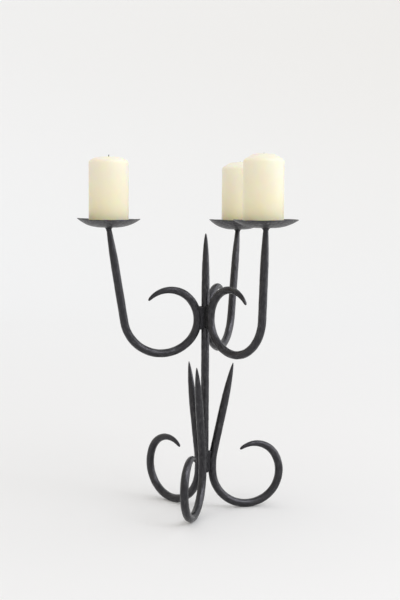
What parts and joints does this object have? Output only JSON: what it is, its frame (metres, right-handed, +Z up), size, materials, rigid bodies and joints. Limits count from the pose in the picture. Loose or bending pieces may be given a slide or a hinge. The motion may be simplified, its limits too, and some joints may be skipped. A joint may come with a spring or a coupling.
{
  "type": "candelabrum",
  "caption": "Free-standing forged iron candelabrum with scrolled arms and legs round a pointed stem, dished drip pans, and pillar candles that lift off.",
  "frame": {"origin": "on the stem's axis, on the level surface that the three feet stand on", "axes": "+Z up along the stem; +X to the right and -Y towards the viewer, with one leg close to the front"},
  "size_m": [0.3119, 0.3313, 0.522],
  "materials": {
    "iron": "satin",
    "pan_iron": "satin",
    "weld_metal": "satin",
    "candle_wax": "satin",
    "wick_cotton": "matte"
  },
  "bodies": {
    "root": {"stem": "iron", "arm_1": "iron", "arm_2": "iron", "arm_3": "iron", "leg_1": "iron", "leg_2": "iron", "leg_3": "iron", "arm_weld_1": "weld_metal", "arm_weld_2": "weld_metal", "arm_weld_3": "weld_metal", "leg_weld_1": "weld_metal", "leg_weld_2": "weld_metal", "leg_weld_3": "weld_metal", "drip_pan_1": "pan_iron", "drip_pan_2": "pan_iron", "drip_pan_3": "pan_iron", "pan_weld_1": "weld_metal", "pan_weld_2": "weld_metal", "pan_weld_3": "weld_metal", "pricket_1": "iron", "pricket_2": "iron", "pricket_3": "iron"},
    "candle_1": {"candle_1": "candle_wax", "wick_1": "wick_cotton"},
    "candle_2": {"candle_2": "candle_wax", "wick_2": "wick_cotton"},
    "candle_3": {"candle_3": "candle_wax", "wick_3": "wick_cotton"}
  },
  "joints": [
    {"name": "candle_1_lift", "type": "slide", "parent": "root", "child": "candle_1", "axis": [0, 0, 1], "range_m": [0, 0.04]},
    {"name": "candle_2_lift", "type": "slide", "parent": "root", "child": "candle_2", "axis": [0, 0, 1], "range_m": [0, 0.04]},
    {"name": "candle_3_lift", "type": "slide", "parent": "root", "child": "candle_3", "axis": [0, 0, 1], "range_m": [0, 0.04]}
  ]
}
